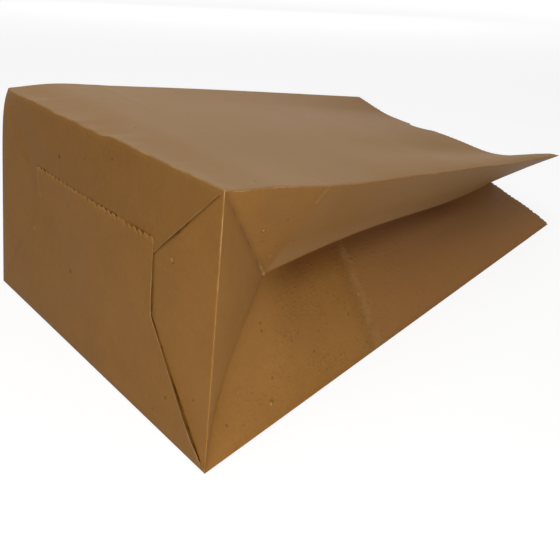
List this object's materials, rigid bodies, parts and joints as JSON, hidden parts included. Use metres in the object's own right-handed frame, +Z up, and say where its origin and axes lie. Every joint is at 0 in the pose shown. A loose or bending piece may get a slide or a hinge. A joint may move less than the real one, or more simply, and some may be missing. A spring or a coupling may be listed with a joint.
{
  "type": "paper lunch bag",
  "caption": "Brown kraft paper lunch bag lying open on its wide panel, with tucked side gussets and a folded, glued block bottom.",
  "frame": {"origin": "middle of the lower panel, on the surface that the bag lies on", "axes": "+Y from the block bottom to the open mouth, +Z up from the surface, +X towards the near gusset of the picture"},
  "size_m": [0.1292, 0.2447, 0.0793],
  "materials": {
    "kraft_paper": "matt brown kraft paper with a faint sheen"
  },
  "bodies": {
    "root": {"paper_bag": "kraft_paper"}
  },
  "joints": []
}
